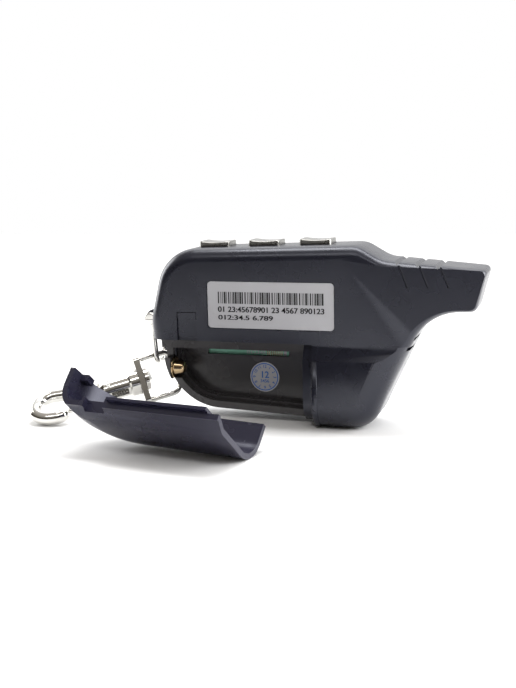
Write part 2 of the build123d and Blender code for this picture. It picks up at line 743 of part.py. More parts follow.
# Circuit board with a tongue into the antenna stub
with BuildPart() as circuit_board:
    with BuildSketch(rear_plane(BOARD_FRONT)):
        add(rounded_outline(CASE_CORNERS, BOARD_INSET))
        with Locations((BOARD_END, 0)):
            Rectangle(FAR, FAR, align=(Align.MIN, Align.CENTER), mode=Mode.SUBTRACT)
        with Locations((BOARD_TONGUE_ROOT, BOARD_TONGUE_FOOT)):
            Rectangle(
                BOARD_TONGUE_END - BOARD_TONGUE_ROOT,
                BOARD_TONGUE_TOP - BOARD_TONGUE_FOOT,
                align=(Align.MIN, Align.MIN),
            )
        with Locations(*BOARD_SCREWS):
            Circle(SCREW_SHANK + PIN_FIT, mode=Mode.SUBTRACT)
    extrude(amount=BOARD_THICK)
circuit_board.part = circuit_board.part.moved(TO_FOOT)
circuit_board.part.label = "circuit_board"
export_step(circuit_board.part, "parts/circuit_board.step")

# Board screws: pan heads on the rear side of the board, shanks into the bosses
with BuildPart() as board_screws:
    with BuildSketch(rear_plane(BOARD_REAR)):
        with Locations(*BOARD_SCREWS):
            Circle(SCREW_HEAD)
    extrude(amount=SCREW_HEAD_HEIGHT)
    with BuildSketch(rear_plane(CASE_DEPTH - WALL - SCREW_ROOM)):
        with Locations(*BOARD_SCREWS):
            Circle(SCREW_SHANK)
    extrude(amount=CASE_DEPTH - WALL - SCREW_ROOM - BOARD_REAR)
board_screws.part = board_screws.part.moved(TO_FOOT)
board_screws.part.label = "board_screws"
export_step(board_screws.part, "parts/board_screws.step")

# Display: holder on the board, module in it and lens in the window
with BuildPart() as lcd_holder:
    with BuildSketch(rear_plane(HOLDER_FRONT)):
        with Locations((WINDOW_X, WINDOW_Z)):
            Rectangle(LCD_WIDTH + 2 * HOLDER_BORDER, LCD_HEIGHT + 2 * HOLDER_BORDER)
    extrude(amount=HOLDER_THICK + LCD_THICK)
    with BuildSketch(rear_plane(HOLDER_FRONT)):
        with Locations((WINDOW_X, WINDOW_Z)):
            Rectangle(LCD_WIDTH + 2 * LENS_FIT, LCD_HEIGHT + 2 * LENS_FIT)
    extrude(amount=LCD_THICK, mode=Mode.SUBTRACT)
lcd_holder.part = lcd_holder.part.moved(TO_FOOT)
lcd_holder.part.label = "lcd_holder"
export_step(lcd_holder.part, "parts/lcd_holder.step")

with BuildPart() as lcd_module:
    with BuildSketch(rear_plane(HOLDER_FRONT)):
        with Locations((WINDOW_X, WINDOW_Z)):
            Rectangle(LCD_WIDTH, LCD_HEIGHT)
    extrude(amount=LCD_THICK)
lcd_module.part = lcd_module.part.moved(TO_FOOT)
lcd_module.part.label = "lcd_module"
export_step(lcd_module.part, "parts/lcd_module.step")

with BuildPart() as display_lens:
    with BuildSketch(rear_plane(CASE_DEPTH - WALL)):
        with Locations((WINDOW_X, WINDOW_Z)):
            RectangleRounded(
                WINDOW_WIDTH + 2 * LENS_FLANGE, WINDOW_HEIGHT + 2 * LENS_FLANGE, WINDOW_CORNER
            )
    extrude(amount=LENS_FLANGE_THICK)
    with BuildSketch(rear_plane(CASE_DEPTH - LENS_SUNK)):
        with Locations((WINDOW_X, WINDOW_Z)):
            RectangleRounded(
                WINDOW_WIDTH - 2 * LENS_FIT, WINDOW_HEIGHT - 2 * LENS_FIT, WINDOW_CORNER - LENS_FIT
            )
    extrude(amount=WALL - LENS_SUNK)
display_lens.part = display_lens.part.moved(TO_FOOT)
display_lens.part.label = "display_lens"
export_step(display_lens.part, "parts/display_lens.step")

# Switches under the buttons, on the rear side of the board
with BuildPart() as tact_switches:
    for x in BUTTON_CENTRES:
        top = case_top(x) - SWITCH_DROP
        block(
            (x - SWITCH_SIZE / 2, x + SWITCH_SIZE / 2),
            (BOARD_REAR - SWITCH_DEPTH, BOARD_REAR),
            (top - SWITCH_PLUNGER_HEIGHT - SWITCH_HEIGHT, top - SWITCH_PLUNGER_HEIGHT),
        )
        with Locations((x, BUTTON_Y, top)):
            Cylinder(
                SWITCH_PLUNGER,
                SWITCH_PLUNGER_HEIGHT,
                align=(Align.CENTER, Align.CENTER, Align.MAX),
            )
tact_switches.part = tact_switches.part.moved(TO_FOOT)
tact_switches.part.label = "tact_switches"
export_step(tact_switches.part, "parts/tact_switches.step")


def button(x):
    """Button at x: a dished cap, a flange under the wall and a nub over the switch."""
    wall_face = case_top(x) - WALL - BUTTON_FIT - TOP_SLOPE * (BUTTON_WIDTH / 2 + BUTTON_LIP)
    dish_radius = (BUTTON_WIDTH ** 2 / 4 + BUTTON_DISH ** 2) / (2 * BUTTON_DISH)
    top = case_top(x) + BUTTON_PROUD
    with BuildPart() as cap:
        with BuildSketch(Plane.XY.offset(wall_face - BUTTON_FLANGE)):
            with Locations((x, BUTTON_Y)):
                RectangleRounded(BUTTON_WIDTH, BUTTON_DEPTH, BUTTON_CORNER)
        extrude(amount=top - wall_face + BUTTON_FLANGE)
        with Locations(Location((x, BUTTON_Y, top - BUTTON_DISH + dish_radius), (90, 0, 0))):
            Cylinder(dish_radius, 2 * BUTTON_DEPTH, mode=Mode.SUBTRACT)
        fillet(cap.faces().sort_by(Axis.Z)[-1].edges(), BUTTON_EDGE)
        with BuildSketch(Plane.XY.offset(wall_face - BUTTON_FLANGE)):
            with Locations((x, BUTTON_Y)):
                RectangleRounded(
                    BUTTON_WIDTH + 2 * BUTTON_LIP, BUTTON_DEPTH + 2 * BUTTON_LIP, BUTTON_CORNER
                )
        extrude(amount=BUTTON_FLANGE)
        with Locations((x, BUTTON_Y, case_top(x) - SWITCH_DROP + BUTTON_TRAVEL + BUTTON_PLAY)):
            Cylinder(NUB_RADIUS, NUB_HEIGHT, align=(Align.CENTER, Align.CENTER, Align.MIN))
    return cap.part


for place, name in zip(BUTTON_CENTRES, BUTTON_NAMES):
    with BuildPart() as piece:
        add(button(place))
    piece.part = piece.part.moved(TO_FOOT)
    piece.part.label = name
    export_step(piece.part, "parts/" + name + ".step")

# Sounder on the board and antenna coil in the stub
with BuildPart() as buzzer:
    with BuildSketch(rear_plane(BOARD_REAR)):
        with Locations((BUZZER_X, BUZZER_Z)):
            Circle(BUZZER_RADIUS)
    extrude(amount=BUZZER_HEIGHT)
    with BuildSketch(rear_plane(BOARD_REAR)):
        with Locations((BUZZER_X, BUZZER_Z)):
            Circle(BUZZER_HOLE)
    extrude(amount=BUZZER_HEIGHT, mode=Mode.SUBTRACT)
buzzer.part = buzzer.part.moved(TO_FOOT)
buzzer.part.label = "buzzer"
export_step(buzzer.part, "parts/buzzer.step")

with BuildPart() as antenna_coil:
    with Locations(Plane(origin=(COIL_START, BOARD_REAR - COIL_RADIUS, COIL_Z), z_dir=(1, 0, 0))):
        Cylinder(COIL_RADIUS, COIL_LENGTH, align=(Align.CENTER, Align.CENTER, Align.MIN))
antenna_coil.part = antenna_coil.part.moved(TO_FOOT)
antenna_coil.part.label = "antenna_coil"
export_step(antenna_coil.part, "parts/antenna_coil.step")

# Label in its recess and round sticker on the back wall of the bay
with BuildPart() as label_sticker:
    with BuildSketch(rear_plane(LABEL_RECESS)):
        with Locations((LABEL_LEFT + LABEL_WIDTH / 2, LABEL_FOOT + LABEL_HEIGHT / 2)):
            RectangleRounded(LABEL_WIDTH, LABEL_HEIGHT, LABEL_CORNER)
    extrude(amount=LABEL_THICK)
label_sticker.part = label_sticker.part.moved(TO_FOOT)
label_sticker.part.label = "label_sticker"
export_step(label_sticker.part, "parts/label_sticker.step")

with BuildPart() as inspection_sticker:
    with BuildSketch(rear_plane(FRAME_BACK)):
        with Locations((STICKER_X, STICKER_Z)):
            Circle(STICKER_RADIUS)
    extrude(amount=STICKER_THICK)
inspection_sticker.part = inspection_sticker.part.moved(TO_FOOT)
inspection_sticker.part.label = "inspection_sticker"
export_step(inspection_sticker.part, "parts/inspection_sticker.step")

# Key pin: slotted head on the near side, peened over on the far side
pin_start = NEAR_EYE - PIN_PLAY
pin_end = FAR_EYE + WIRE + PIN_PLAY
with BuildPart() as key_pin:
    for near, far, radius in (
        (pin_start - PIN_HEAD_THICK, pin_start, PIN_HEAD_RADIUS),
        (pin_start, pin_end, PIN_RADIUS),
        (pin_end, pin_end + PIN_PEEN_THICK, PIN_PEEN_RADIUS),
    ):
        with BuildSketch(rear_plane(far)):
            with Locations((PIN_X, PIN_Z)):
                Circle(radius)
        extrude(amount=far - near)
    fillet(key_pin.edges().sort_by(Axis.Y)[0], PIN_SLOT)
    block(
        (PIN_X - FAR / 2, PIN_X + FAR / 2),
        (pin_start - PIN_HEAD_THICK, pin_start - PIN_HEAD_THICK + PIN_SLOT),
        (PIN_Z - PIN_SLOT / 2, PIN_Z + PIN_SLOT / 2),
        mode=Mode.SUBTRACT,
    )
key_pin.part = key_pin.part.moved(TO_FOOT)
key_pin.part.label = "key_pin"
export_step(key_pin.part, "parts/key_pin.step")

# Shackle: bent wire with an eye on each leg and a rung across its foot
leg_reach = ((PIN_X - RUNG_X) ** 2 + (PIN_Z - RUNG_Z) ** 2) ** 0.5 - PIN_RADIUS - WIRE / 4
shackle_plane = Plane(
    origin=(RUNG_X, 0, RUNG_Z), x_dir=(0, 1, 0), z_dir=(PIN_Z - RUNG_Z, 0, RUNG_X - PIN_X)
)
near_leg = NEAR_EYE + WIRE / 2
far_leg = FAR_EYE + WIRE / 2
with BuildPart() as shackle:
    with BuildLine(shackle_plane) as wire_route:
        FilletPolyline(
            (near_leg, leg_reach), (near_leg, 0), (far_leg, 0), (far_leg, leg_reach), radius=BEND
        )
    with BuildSketch(Plane(origin=wire_route.line @ 0, z_dir=wire_route.line % 0)):
        Circle(WIRE / 2)
    sweep()
    for near in (NEAR_EYE, FAR_EYE):
        with BuildSketch(rear_plane(near + WIRE)):
            with Locations((PIN_X, PIN_Z)):
                Circle(EYE_RADIUS)
        extrude(amount=WIRE)
    with BuildSketch(rear_plane(CASE_DEPTH)):
        with Locations((PIN_X, PIN_Z)):
            Circle(PIN_RADIUS + PIN_FIT)
    extrude(amount=CASE_DEPTH, mode=Mode.SUBTRACT)
shackle.part = shackle.part.moved(TO_FOOT)
shackle.part.label = "shackle"
export_step(shackle.part, "parts/shackle.step")

# Swivel frame: wire loop over the rung, closed by the plate that carries the swivel
hook_line = Vector(*HOOK_LINE)
plate_line = Vector(*PLATE_LINE)
loop_plane = Plane(origin=SWIVEL_CENTRE, x_dir=-hook_line, z_dir=plate_line.cross(hook_line))
plate_plane = Plane(origin=SWIVEL_CENTRE, x_dir=plate_line, z_dir=hook_line)
with BuildPart() as swivel_frame:
    with BuildLine(loop_plane) as loop_route:
        FilletPolyline(
            (0, LOOP_HALF),
            (LOOP_DEPTH, LOOP_HALF),
            (LOOP_DEPTH, -LOOP_HALF),
            (0, -LOOP_HALF),
            radius=LOOP_BEND,
        )
    with BuildSketch(Plane(origin=loop_route.line @ 0, z_dir=loop_route.line % 0)):
        Circle(WIRE / 2)
    sweep()
    with BuildSketch(plate_plane.offset(-PLATE_THICK / 2)):
        RectangleRounded(PLATE_LENGTH, PLATE_WIDTH, PLATE_CORNER)
    extrude(amount=PLATE_THICK)
    with BuildSketch(plate_plane.offset(-PLATE_THICK / 2)):
        Circle(STUD_RADIUS + STUD_FIT)
    extrude(amount=PLATE_THICK, mode=Mode.SUBTRACT)
swivel_frame.part = swivel_frame.part.moved(TO_FOOT)
swivel_frame.part.label = "swivel_frame"
export_step(swivel_frame.part, "parts/swivel_frame.step")

# Hook: stud with its head, collar and barrel turned about one line, then the open ring
ring_side = plate_line.rotate(Axis((0, 0, 0), HOOK_LINE), -RING_TURN)
hook_plane = Plane(origin=SWIVEL_CENTRE, x_dir=hook_line, z_dir=hook_line.cross(ring_side))
play_end = PLATE_THICK / 2 + SWIVEL_PLAY
gate_slot_half = GATE_EYE_THICK / 2 + GATE_SLOT
slot_start = GATE_PIVOT - GATE_EYE - 2 * GATE_SLOT - SPRING_LENGTH - SPRING_WIRE
spring_foot = hook_plane.from_local_coords(Vector(slot_start, -SPRING_OFFSET, 0))


def ring_point(radius, angle):
    """Point at an angle round the ring's centre, in the hook's own plane."""
    turned = Vector(radius, 0).rotate(Axis.Z, angle)
    return (RING_CENTRE + turned.X, turned.Y)


def tangent_angle(x, y, radius):
    """Angle at which a line from (x, y) runs into a circle round the ring's centre."""
    reach = ((x - RING_CENTRE) ** 2 + y ** 2) ** 0.5
    return math.degrees(math.atan2(abs(y), x - RING_CENTRE) - math.acos(radius / reach))


with BuildPart() as hook:
    with BuildSketch(hook_plane):
        with BuildLine():
            Polyline(
                (-play_end - STUD_HEAD_THICK, 0),
                (-play_end - STUD_HEAD_THICK, STUD_HEAD_FACE),
                (-play_end - STUD_HEAD_THICK / 2, STUD_HEAD_RADIUS),
                (-play_end, STUD_HEAD_RADIUS),
                (-play_end, STUD_RADIUS),
                (play_end, STUD_RADIUS),
                (play_end, COLLAR_RADIUS),
                (play_end + COLLAR_LENGTH, COLLAR_RADIUS),
                (play_end + COLLAR_LENGTH + BARREL_ROUND / 2, BARREL_RADIUS),
                (BARREL_END - BARREL_ROUND, BARREL_RADIUS),
                (BARREL_END, BARREL_RADIUS - BARREL_ROUND),
                (BARREL_END, 0),
                close=True,
            )
        make_face()
    revolve(axis=Axis(SWIVEL_CENTRE, HOOK_LINE))
    arm_angle = tangent_angle(ARM_START, ARM_OFFSET, RING_RADIUS)
    with BuildLine(hook_plane) as claw_route:
        arm = Line((ARM_START, ARM_OFFSET), ring_point(RING_RADIUS, arm_angle))
        ThreePointArc(
            arm @ 1,
            ring_point(RING_RADIUS, (arm_angle + CLAW_END) / 2),
            ring_point(RING_RADIUS, CLAW_END),
        )
    with BuildSketch(Plane(origin=claw_route.line @ 0, z_dir=claw_route.line % 0)):
        Circle(RING_WIRE)
    sweep()
    with Locations(hook_plane * Location((*ring_point(RING_RADIUS, CLAW_END), 0))):
        Sphere(RING_WIRE)
    # Slot for the gate and bore for its rivet
    with Locations(hook_plane * Location((slot_start, -GATE_SLOT, 0))):
        Box(
            BARREL_END,
            BARREL_RADIUS + 1,
            2 * gate_slot_half,
            align=(Align.MIN, Align.MAX, Align.CENTER),
            mode=Mode.SUBTRACT,
        )
    with Locations(Plane(origin=spring_foot, z_dir=hook_line)):
        Cylinder(
            SPRING_RADIUS + SPRING_WIRE / 2 + SPRING_FIT,
            SPRING_LENGTH + SPRING_WIRE,
            align=(Align.CENTER, Align.CENTER, Align.MIN),
            mode=Mode.SUBTRACT,
        )
    with Locations(hook_plane * Location((GATE_PIVOT, -GATE_OFFSET, 0))):
        Cylinder(RIVET_RADIUS + RIVET_FIT, 4 * BARREL_RADIUS, mode=Mode.SUBTRACT)
hook.part = hook.part.moved(TO_FOOT)
hook.part.label = "hook"
export_step(hook.part, "parts/hook.step")

# Gate of the hook, on its rivet
with BuildPart() as hook_gate:
    with BuildLine(hook_plane) as gate_route:
        Line((GATE_PIVOT, -GATE_OFFSET), ring_point(GATE_RADIUS, GATE_END))
    with BuildSketch(Plane(origin=gate_route.line @ 0, z_dir=gate_route.line % 0)):
        Circle(GATE_WIRE)
    sweep()
    with Locations(hook_plane * Location((*ring_point(GATE_RADIUS, GATE_END), 0))):
        Sphere(GATE_WIRE)
    with Locations(hook_plane * Location((GATE_PIVOT, -GATE_OFFSET, 0))):
        Cylinder(GATE_EYE, GATE_EYE_THICK)
        Cylinder(GATE_BORE, 2 * GATE_EYE_THICK, mode=Mode.SUBTRACT)
hook_gate.part = hook_gate.part.moved(TO_FOOT)
hook_gate.part.label = "hook_gate"
export_step(hook_gate.part, "parts/hook_gate.step")

with BuildPart() as gate_rivet:
    with Locations(hook_plane * Location((GATE_PIVOT, -GATE_OFFSET, 0))):
        Cylinder(RIVET_RADIUS, 2 * RIVET_REACH)
gate_rivet.part = gate_rivet.part.moved(TO_FOOT)
gate_rivet.part.label = "gate_rivet"
export_step(gate_rivet.part, "parts/gate_rivet.step")

# Spring of the gate, in its bore in the barrel
with BuildPart() as gate_spring:
    with BuildLine():
        coil = Helix(
            SPRING_PITCH,
            SPRING_LENGTH,
            SPRING_RADIUS,
            center=spring_foot + hook_line * SPRING_WIRE,
            direction=hook_line,
        )
    with BuildSketch(Plane(origin=coil @ 0, z_dir=coil % 0)):
        Circle(SPRING_WIRE / 2)
    sweep(is_frenet=True)
turn_gaps = [
    (coil @ (step / 100) - coil @ (step / 100 + 1 / SPRING_TURNS)).length - SPRING_WIRE
    for step in range(int(100 - 100 / SPRING_TURNS))
]
print("least gap between the turns of the gate spring", round(min(turn_gaps), 3))
gate_spring.part = gate_spring.part.moved(TO_FOOT)
gate_spring.part.label = "gate_spring"
export_step(gate_spring.part, "parts/gate_spring.step")
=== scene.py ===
"""Finish of the car alarm remote: a soft studio, materials, rounded edges and printed details."""
import json
import math

import bmesh
import bpy
from mathutils import Matrix, Vector


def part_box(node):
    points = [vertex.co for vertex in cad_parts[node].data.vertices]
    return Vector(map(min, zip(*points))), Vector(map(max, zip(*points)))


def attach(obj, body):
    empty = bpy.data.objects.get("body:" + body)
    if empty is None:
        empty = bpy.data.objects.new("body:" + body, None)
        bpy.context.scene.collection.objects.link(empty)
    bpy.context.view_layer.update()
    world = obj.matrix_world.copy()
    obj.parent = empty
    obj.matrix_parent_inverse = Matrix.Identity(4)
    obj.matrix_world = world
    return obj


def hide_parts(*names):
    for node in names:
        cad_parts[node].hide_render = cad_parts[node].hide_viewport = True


bl_info = {
    "name": "Car alarm remote finish",
    "version": (1, 0, 0),
    "blender": (4, 5, 0),
    "location": "View3D > Sidebar > Remote",
    "description": "Studio, materials, rounded edges and printed details for the car alarm remote",
    "category": "Add Mesh",
}

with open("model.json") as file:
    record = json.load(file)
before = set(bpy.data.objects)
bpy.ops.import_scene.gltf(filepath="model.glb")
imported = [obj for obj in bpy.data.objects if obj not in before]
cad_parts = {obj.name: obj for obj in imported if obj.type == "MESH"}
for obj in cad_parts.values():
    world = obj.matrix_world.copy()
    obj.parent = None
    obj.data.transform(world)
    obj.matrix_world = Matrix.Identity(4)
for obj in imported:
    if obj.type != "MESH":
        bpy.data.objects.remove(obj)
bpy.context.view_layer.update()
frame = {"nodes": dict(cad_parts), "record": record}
BODIES = frame["record"]["behaviour"]["bodies"]
BODY_OF = {node: body for body, nodes in BODIES.items() for node in nodes}

MM = 0.001
CASE_CORNER = Vector((-0.048, -0.0095, 0.0))

# Camera: place in metres, angles in degrees and lens in millimetres
CAMERA_PLACE = (0.0592, -0.2512, 0.0667)
CAMERA_TURN = 17.7
CAMERA_TILT = 10.22
CAMERA_ROLL = -1.24
CAMERA_LENS = 54.94
CAMERA_SENSOR = 36.0

# Soft lights: name, place, target, width and height in metres, and power in watts
LIGHTS = (
    ("top_box", (0.0, 0.05, 0.40), (0.0, 0.01, 0.02), 0.34, 0.11, 1.3),
    ("back_box", (0.0, 1.1, 1.0), (0.0, 1.3, 0.0), 2.4, 1.2, 14.0),
    ("edge_box", (0.02, -0.32, 0.40), (0.0, 0.0, 0.03), 0.50, 0.06, 0.5),
    ("left_box", (-0.42, 0.10, 0.15), (-0.02, 0.0, 0.02), 0.22, 0.26, 1.0),
    ("right_box", (0.50, 0.10, 0.22), (0.02, -0.01, 0.02), 0.50, 0.40, 4.0),
)

# Room that the pieces reflect: white at the back, dark at the front and paler toward its top
WHITE = (1.0, 1.0, 1.0)
ROOM_BACK = (0.25, 0.95, 0.0)
ROOM_FADE = (-0.15, 0.45)
FRONT_FOOT = (0.050, 0.042, 0.034)
FRONT_HEAD = (0.50, 0.47, 0.43)
FRONT_RISE = (0.2, 0.85)

# Texture of every material, in metres
CLOUD_SIZE = 0.011
SMEAR_SIZE = 0.006
SMEAR_RANGE = (0.15, 0.85)
GRAIN_SIZE = 0.00012

# Copies of the solids: merging distance and edge roundings in metres, angles in degrees
MERGE_DISTANCE = 0.000002
FLAT_ANGLE = 0.6
EDGE_ANGLE = 32.0
WIRE_ANGLE = 28.0
EDGE_SEGMENTS = 2
LEAF_EDGE = 0.00005
BUTTON_EDGE = 0.00008

# Lip round the left end of the battery housing, in millimetres and degrees
LIP_LEFT = 43.75
LIP_WIDTH = 1.5
LIP_HEIGHT = 0.34
LIP_SUNK = 0.15
LIP_TOP = 17.3
LIP_SWEEP = 68
LIP_STEPS = 12
LIP_FACETS = 8
HUMP_FACE = -1.5
HUMP_ROUND = 6.8

# Digits: how far the outline is thickened, as a share of their height
DIGIT_WEIGHT = 0.015
DIGIT_BOLD = 0.02

# Print on the circuit board, in millimetres unless the name says metres
BOARD_FOOT = 15.7
BOARD_HEAD = 18.0
PAD_COUNT = 8
PAD_FIRST = 28.5
PAD_PITCH = 0.55
PAD_WIDTH = 0.25
BLOCK_LEFT = 33.0
BLOCK_RIGHT = 33.7
BOARD_TEXT = "012345"
BOARD_TEXT_PLACE = (25.6, 16.35)
BOARD_TEXT_WIDTH = 5.2
BOARD_TEXT_METRES = 0.0013
PROUD_METRES = 0.00002
SUNK_METRES = 0.00004

# Bars of the label, in millimetres: widths are counted in steps
BAR_STEPS = (2, 1, 1, 3, 1, 2, 1, 1, 2, 3, 1, 1, 3, 2)
BAR_STEP = 0.16
BAR_SPACE = 0.8
BARS_LEFT = 19.9
BARS_LAST = 46.4
BARS_RIGHT = 46.7
BARS_FOOT = 30.8
BARS_HEAD = 33.7

# Rows of the label: digits, their height in metres, then left, right and height on the face
LABEL_ROWS = (
    ("01 23:45678901 23 4567 890123", 0.0019, 19.9, 46.9, 29.3),
    ("012:34.5 6.789", 0.0016, 19.9, 34.0, 27.3),
)
ROW_SHIFTS = (-0.035, 0.035)

# Round sticker, in metres
RING_INNER = 0.00335
RING_OUTER = 0.00362
RING_STEPS = 72
HOUR_RADIUS = 0.00272
HOUR_HEIGHT = 0.0011
MIDDLE_ROWS = (
    ("12", 0.0024, 0.0005, DIGIT_BOLD),
    ("3456", 0.0012, -0.0011, DIGIT_WEIGHT),
)


def spot(x, y, z):
    """Point given in millimetres from the case's lower left rear corner."""
    return CASE_CORNER + Vector((x, y, z)) * MM


def on_face(x, z, face):
    """Point given in millimetres along the case and up, on a face whose depth is in metres."""
    place = spot(x, 0, z)
    place.y = face
    return place


class RemoteSizes(bpy.types.PropertyGroup):
    """Sizes of the finish that a user may change."""

    shell_edge: bpy.props.FloatProperty(
        name="Shell edge", description="Rounding of the moulded edges", default=0.00016,
        subtype="DISTANCE", unit="LENGTH", precision=5)
    wire_edge: bpy.props.FloatProperty(
        name="Metal edge", description="Rounding of the cast metal edges", default=0.00022,
        subtype="DISTANCE", unit="LENGTH", precision=5)
    print_height: bpy.props.FloatProperty(
        name="Print height", description="How far the print stands on its film", default=0.00002,
        subtype="DISTANCE", unit="LENGTH", precision=5)
    floor_width: bpy.props.FloatProperty(
        name="Floor width", description="Width of the studio floor", default=1.2,
        subtype="DISTANCE", unit="LENGTH")


class RemoteColours(bpy.types.PropertyGroup):
    """Colours of the finish that a user may change."""

    case: bpy.props.FloatVectorProperty(
        name="Case", description="Moulded case", subtype="COLOR", size=3, min=0, max=1,
        default=(0.0085, 0.0090, 0.0160))
    cover: bpy.props.FloatVectorProperty(
        name="Cover", description="Loose battery cover", subtype="COLOR", size=3, min=0, max=1,
        default=(0.0135, 0.0125, 0.0270))
    bay: bpy.props.FloatVectorProperty(
        name="Battery frame", description="Black battery frame", subtype="COLOR", size=3,
        min=0, max=1, default=(0.050, 0.047, 0.049))
    plating: bpy.props.FloatVectorProperty(
        name="Plating", description="Plated clip", subtype="COLOR", size=3, min=0, max=1,
        default=(0.70, 0.69, 0.66))
    film: bpy.props.FloatVectorProperty(
        name="Film", description="Label and sticker film", subtype="COLOR", size=3,
        min=0, max=1, default=(0.46, 0.46, 0.485))
    ink: bpy.props.FloatVectorProperty(
        name="Ink", description="Dark print", subtype="COLOR", size=3, min=0, max=1,
        default=(0.02, 0.02, 0.022))
    # Board colour is much brighter than the real solder mask, to make up for the shade that the
    # ledge casts on the board in its window: painted light
    board: bpy.props.FloatVectorProperty(
        name="Board", description="Solder mask of the circuit board", subtype="COLOR", size=3,
        min=0, max=1, default=(0.22, 0.52, 0.38))


def sizes():
    return bpy.context.scene.remote_sizes


def colours():
    return bpy.context.scene.remote_colours


def finish(name, colour, rough, metallic=0.0, drift=0.12, grain=0.000012, wave=0.0,
           wave_size=0.002, coat=0.0, **sockets):
    """Material with a slow drift of colour and gloss, a fine grain and, if asked, a slow wave."""
    name = "remote_" + name
    material = bpy.data.materials.get(name)
    if material:
        return material
    material = bpy.data.materials.new(name)
    material.use_nodes = True
    nodes, links = material.node_tree.nodes, material.node_tree.links
    shader = nodes["Principled BSDF"]
    place = nodes.new("ShaderNodeTexCoord").outputs["Object"]

    def noise(size, detail):
        node = nodes.new("ShaderNodeTexNoise")
        node.inputs["Scale"].default_value = 1.0 / size
        node.inputs["Detail"].default_value = detail
        links.new(place, node.inputs["Vector"])
        return node.outputs["Fac"]

    tint = nodes.new("ShaderNodeMix")
    tint.data_type = "RGBA"
    links.new(noise(CLOUD_SIZE, 4.0), tint.inputs["Factor"])
    tint.inputs["A"].default_value = (*[min(1.0, c * (1 - drift)) for c in colour], 1)
    tint.inputs["B"].default_value = (*[min(1.0, c * (1 + drift)) for c in colour], 1)
    links.new(tint.outputs["Result"], shader.inputs["Base Color"])

    gloss = nodes.new("ShaderNodeMapRange")
    gloss.inputs["From Min"].default_value = SMEAR_RANGE[0]
    gloss.inputs["From Max"].default_value = SMEAR_RANGE[1]
    gloss.inputs["To Min"].default_value = rough[0]
    gloss.inputs["To Max"].default_value = rough[1]
    links.new(noise(SMEAR_SIZE, 2.0), gloss.inputs["Value"])
    links.new(gloss.outputs["Result"], shader.inputs["Roughness"])

    bump = nodes.new("ShaderNodeBump")
    bump.inputs["Distance"].default_value = grain
    bump.inputs["Strength"].default_value = 0.5
    links.new(noise(GRAIN_SIZE, 2.0), bump.inputs["Height"])
    if wave:
        swell = nodes.new("ShaderNodeBump")
        swell.inputs["Distance"].default_value = wave
        swell.inputs["Strength"].default_value = 0.6
        links.new(noise(wave_size, 1.0), swell.inputs["Height"])
        links.new(swell.outputs["Normal"], bump.inputs["Normal"])
    links.new(bump.outputs["Normal"], shader.inputs["Normal"])

    shader.inputs["Metallic"].default_value = metallic
    shader.inputs["Coat Weight"].default_value = coat
    shader.inputs["Coat Roughness"].default_value = 0.12
    for socket, value in sockets.items():
        shader.inputs[socket.replace("_", " ")].default_value = value
    return material


def case_plastic():
    return finish("case_plastic", colours().case, (0.22, 0.34), grain=0.000005, wave=0.000006,
                  wave_size=0.004, Specular_IOR_Level=0.55, Specular_Tint=(0.88, 0.90, 1.0, 1.0))


def cover_plastic():
    return finish("cover_plastic", colours().cover, (0.20, 0.32), grain=0.000005, wave=0.000006,
                  wave_size=0.004, Specular_IOR_Level=0.55, Specular_Tint=(0.84, 0.86, 1.0, 1.0))


def frame_plastic():
    return finish("frame_plastic", colours().bay, (0.18, 0.32), grain=0.000005, wave=0.000008,
                  Specular_IOR_Level=0.45)


def plated_metal():
    return finish("plated_metal", colours().plating, (0.07, 0.17), metallic=1.0, drift=0.05,
                  grain=0.000004, wave=0.00003, wave_size=0.0015)


def button_metal():
    return finish("button_metal", (0.30, 0.295, 0.28), (0.20, 0.34), metallic=1.0, drift=0.10,
                  grain=0.00001, wave=0.00005, wave_size=0.0022)


def spring_metal():
    return finish("spring_metal", (0.60, 0.60, 0.60), (0.16, 0.30), metallic=1.0)


def contact_gold():
    return finish("contact_gold", (0.62, 0.46, 0.27), (0.12, 0.28), metallic=1.0, wave=0.00002,
                  wave_size=0.001)


def white_film():
    return finish("white_film", colours().film, (0.38, 0.55), drift=0.03, wave=0.00001,
                  wave_size=0.003)


def print_ink():
    return finish("print_ink", colours().ink, (0.5, 0.7), drift=0.3)


def blue_ink():
    return finish("blue_ink", (0.05, 0.15, 0.48), (0.5, 0.7), drift=0.2)


# Board finish: the solder-mask green, brightened to cancel the ledge's shade over the board, so
# its colour carries painted light
def board_mask():
    return finish("board_mask", colours().board, (0.25, 0.4), drift=0.35, wave=0.00002,
                  wave_size=0.0012, coat=0.3)


def holder_plastic():
    return finish("holder_plastic", (0.62, 0.62, 0.59), (0.4, 0.55), drift=0.06)


def display_panel():
    return finish("display_panel", (0.20, 0.24, 0.19), (0.25, 0.35), drift=0.08)


def clear_lens():
    return finish("clear_lens", (0.80, 0.82, 0.83), (0.02, 0.06), drift=0.02, grain=0.000002,
                  Transmission_Weight=0.92, IOR=1.49)


def keep_solid(node, material):
    """Give a CAD node its finish."""
    for slot in frame["nodes"][node].material_slots:
        slot.material = material


def add_piece(name, bm, body, material):
    """Close a bmesh into an object that rides on a body."""
    mesh = bpy.data.meshes.new(name)
    bm.to_mesh(mesh)
    bm.free()
    piece = bpy.data.objects.new(name, mesh)
    bpy.context.scene.collection.objects.link(piece)
    mesh.materials.append(material)
    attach(piece, body)
    return piece


